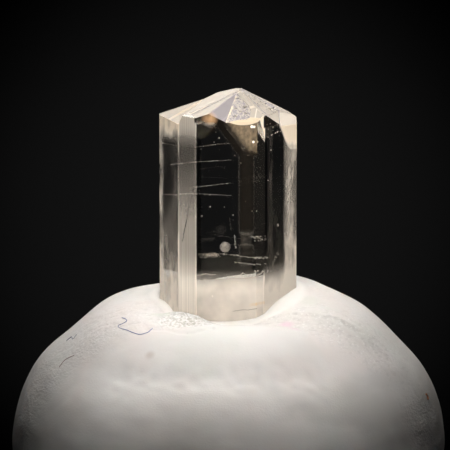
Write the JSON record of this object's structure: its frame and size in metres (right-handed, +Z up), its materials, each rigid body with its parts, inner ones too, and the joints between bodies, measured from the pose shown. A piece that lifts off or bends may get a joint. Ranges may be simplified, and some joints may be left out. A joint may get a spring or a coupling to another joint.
{
  "type": "phenakite crystal",
  "caption": "Clear prismatic phenakite crystal with a low grooved point, held upright in a rounded lump of white mounting putty.",
  "frame": {"origin": "on the putty's flat underside, straight below the crystal's long axis", "axes": "+Z up the crystal's long axis, -Y to the front, where the crystal shows its widest clear face"},
  "size_m": [0.0159, 0.0157, 0.014],
  "materials": {
    "clear_crystal": "water-clear, glossy faces with fine growth lines",
    "white_putty": "soft matt, pressed and creased"
  },
  "bodies": {
    "root": {"crystal": "clear_crystal", "mounting_putty": "white_putty"}
  },
  "joints": []
}
